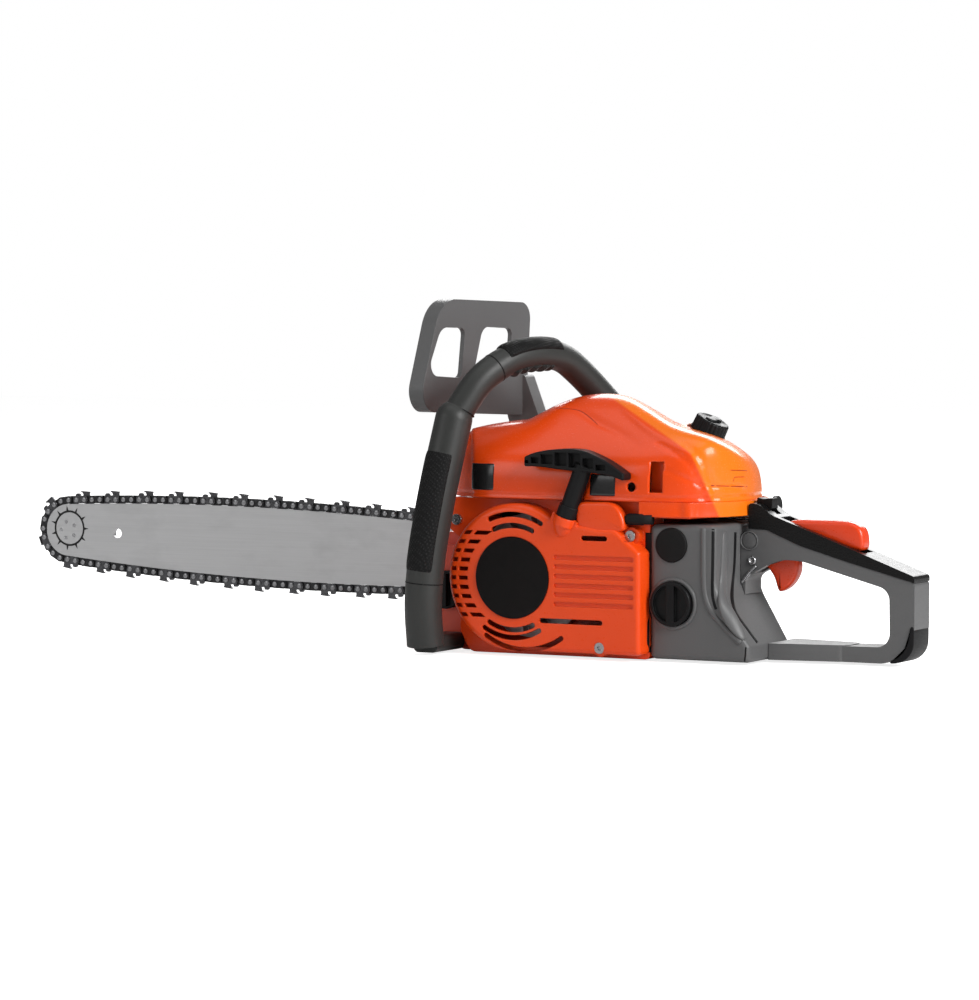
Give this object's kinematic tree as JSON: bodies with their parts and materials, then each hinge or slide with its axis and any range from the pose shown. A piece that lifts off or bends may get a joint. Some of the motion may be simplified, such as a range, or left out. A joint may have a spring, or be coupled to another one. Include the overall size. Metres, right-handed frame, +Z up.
{
  "type": "petrol chainsaw",
  "caption": "Petrol chainsaw with orange covers, grey tank and rear handle, black front handle, hand guard, steel guide bar and saw chain.",
  "frame": {"origin": "on the ground plane, straight below the crankshaft's axis, on the crankcase bottom's level", "axes": "+X forward to the guide bar's nose, +Y to the operator's left (starter side), +Z up"},
  "size_m": [0.8739, 0.2297, 0.2834],
  "materials": {
    "orange_side": "gloss",
    "orange_top": "gloss",
    "case_red": "satin",
    "cast_alloy": "matte",
    "muffler_steel": "satin",
    "bar_steel": "satin",
    "chain_steel": "satin",
    "chain_bright": "satin",
    "dark_steel": "satin",
    "bright_steel": "satin",
    "black_plastic": "satin",
    "white_ceramic": "gloss",
    "black_rubber": "matte",
    "rope": "matte",
    "grip_black": "satin",
    "grey_plastic": "satin",
    "handle_black": "matte",
    "control_red": "gloss",
    "filter_felt": "matte"
  },
  "bodies": {
    "saw": {"air_filter": "filter_felt", "av_dampers": "black_rubber", "bar_nuts": "bright_steel", "bar_studs": "bright_steel", "brake_band": "dark_steel", "bumper_spikes": "bar_steel", "carburettor": "cast_alloy", "carburettor_box": "orange_top", "chain_catcher": "cast_alloy", "chain_cutters": "chain_bright", "chain_drive_links": "chain_steel", "chain_tie_links": "chain_steel", "clutch_cover": "orange_side", "clutch_hub": "dark_steel", "clutch_shoes": "dark_steel", "connecting_rod": "dark_steel", "cover_screws": "bright_steel", "crank_bearings": "bright_steel", "crankcase_left": "case_red", "crankcase_right": "case_red", "crankshaft": "dark_steel", "cylinder": "cast_alloy", "engine_screws": "bright_steel", "flywheel": "cast_alloy", "front_handle": "handle_black", "fuel_tank": "grey_plastic", "grip_cover": "grip_black", "guide_bar": "bar_steel", "ignition_coil": "black_plastic", "intake_boot": "black_rubber", "muffler": "muffler_steel", "nose_rivets": "bar_steel", "oil_pump": "cast_alloy", "piston": "cast_alloy", "piston_pin": "bright_steel", "plug_boot": "black_rubber", "rear_handle": "grey_plastic", "recoil_spring": "dark_steel", "rope_guide": "black_plastic", "spark_plug": "white_ceramic", "starter_cover": "orange_side", "starter_disc": "black_plastic", "starter_pawls": "dark_steel", "tension_pin": "bright_steel", "top_cover": "orange_top"},
    "trigger": {"throttle_trigger": "control_red"},
    "lockout": {"throttle_lockout": "control_red"},
    "rod": {"throttle_rod": "bright_steel"},
    "guard": {"hand_guard": "grey_plastic"},
    "grip": {"starter_grip": "black_plastic"},
    "pulley": {"starter_pulley": "black_plastic", "starter_rope": "rope"},
    "fuel_lid": {"fuel_cap": "black_plastic"},
    "oil_lid": {"oil_cap": "black_plastic"},
    "knob": {"cover_knob": "black_plastic"},
    "choke": {"choke_knob": "black_plastic"},
    "switch": {"stop_switch": "black_plastic"},
    "drum": {"clutch_drum": "dark_steel"},
    "nose": {"nose_sprocket": "bar_steel"},
    "tensioner": {"tension_screw": "bright_steel"}
  },
  "joints": [
    {"name": "trigger_pull", "type": "hinge", "parent": "saw", "child": "trigger", "pos_m": [-0.188, 0.01, 0.087], "axis": [0, 1, 0], "range_deg": [0, 18], "stiffness_Nm_per_rad": 0.3, "springref_deg": -17.19},
    {"name": "throttle_rod_slide", "type": "slide", "parent": "saw", "child": "rod", "axis": [1, 0, 0], "range_m": [0, 0.0072]},
    {"name": "lockout_press", "type": "hinge", "parent": "saw", "child": "lockout", "pos_m": [-0.208, 0.01, 0.098], "axis": [0, -1, 0], "range_deg": [0, 7], "stiffness_Nm_per_rad": 0.4, "springref_deg": -17.19},
    {"name": "guard_brake", "type": "hinge", "parent": "saw", "child": "guard", "pos_m": [0.038, -0.09, 0.12], "axis": [0, 1, 0], "range_deg": [0, 22]},
    {"name": "starter_pull", "type": "slide", "parent": "saw", "child": "grip", "axis": [-0.3616, 0, 0.9323], "range_m": [0, 0.7], "stiffness_N_per_m": 12, "springref_m": -0.5},
    {"name": "pulley_turn", "type": "hinge", "parent": "saw", "child": "pulley", "pos_m": [0, 0.074, 0.063], "axis": [0, 1, 0], "range_deg": [0, 1510]},
    {"name": "fuel_cap_turn", "type": "hinge", "parent": "saw", "child": "fuel_lid", "pos_m": [-0.1334, 0.072, 0.046], "axis": [0, 1, 0], "range_deg": [0, 90]},
    {"name": "oil_cap_turn", "type": "hinge", "parent": "saw", "child": "oil_lid", "pos_m": [0.076, 0.056, 0.049], "axis": [0, 1, 0], "range_deg": [0, 90]},
    {"name": "cover_knob_turn", "type": "hinge", "parent": "saw", "child": "knob", "pos_m": [-0.129, 0, 0.177], "axis": [-0.454, 0, 0.891], "range_deg": [0, 180]},
    {"name": "choke_pull", "type": "slide", "parent": "saw", "child": "choke", "axis": [-1, 0, 0], "range_m": [0, 0.01]},
    {"name": "switch_rock", "type": "hinge", "parent": "saw", "child": "switch", "pos_m": [-0.1865, 0.01, 0.121], "axis": [0, 1, 0], "range_deg": [-5, 5]},
    {"name": "drum_spin", "type": "hinge", "parent": "saw", "child": "drum", "pos_m": [0, -0.075, 0.063], "axis": [0, 1, 0], "continuous": true},
    {"name": "nose_spin", "type": "hinge", "parent": "saw", "child": "nose", "pos_m": [0.52282, -0.062, 0.07852], "axis": [0, 1, 0], "continuous": true},
    {"name": "tension_turn", "type": "hinge", "parent": "saw", "child": "tensioner", "pos_m": [0.08, -0.0545, 0.0548], "axis": [1, 0, 0], "range_deg": [-180, 180]}
  ],
  "couplings": [
    {"joint": "throttle_rod_slide", "follows": "trigger_pull", "m_per_rad": 0.0221},
    {"joint": "pulley_turn", "follows": "starter_pull", "rad_per_m": 37.3},
    {"joint": "nose_spin", "follows": "drum_spin", "ratio": 0.7}
  ]
}
